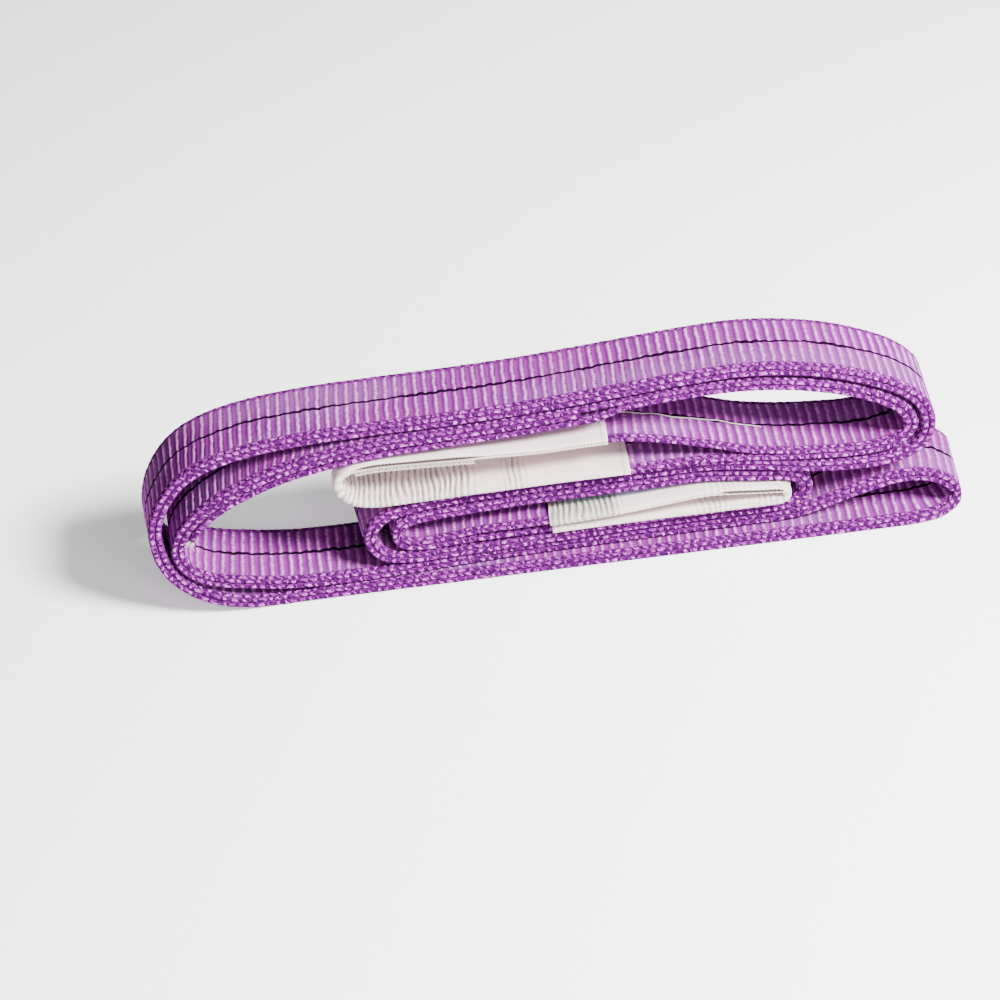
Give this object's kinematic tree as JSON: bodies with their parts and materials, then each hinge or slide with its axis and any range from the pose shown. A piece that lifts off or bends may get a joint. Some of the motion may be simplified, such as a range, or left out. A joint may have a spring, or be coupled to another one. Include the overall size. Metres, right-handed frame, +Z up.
{
  "type": "flat web sling",
  "caption": "Flat duplex web lifting sling with a soft eye at each end in a white wear sleeve, folded into a flat bundle of stacked runs and eyes.",
  "frame": {"origin": "on the ground, under the middle of the folded sling's bounding box", "axes": "+X along the runs, towards the end with the lone lower fold; +Y along the web's width, away from the side that faces the viewer; +Z up through the stack"},
  "size_m": [0.2994, 0.038, 0.0793],
  "materials": {
    "web": "ribbed polyester webbing, violet, soft gloss on the ribs",
    "sleeve": "warm off-white woven sleeve, low sheen",
    "sleeve_thread": "off-white sewing thread",
    "seam_thread": "near-black sewing thread",
    "label": "blue woven label, blank"
  },
  "bodies": {
    "root": {"web_strip": "web", "label": "label", "eye_1_sleeve": "sleeve", "eye_1_sleeve_seam": "sleeve_thread", "eye_1_throat_tack": "sleeve_thread", "eye_2_sleeve": "sleeve", "eye_2_sleeve_seam": "sleeve_thread", "eye_2_throat_tack": "sleeve_thread", "body_seam_front": "seam_thread", "body_seam_rear": "seam_thread", "splice_seam_front": "seam_thread", "splice_seam_rear": "seam_thread"}
  },
  "joints": []
}
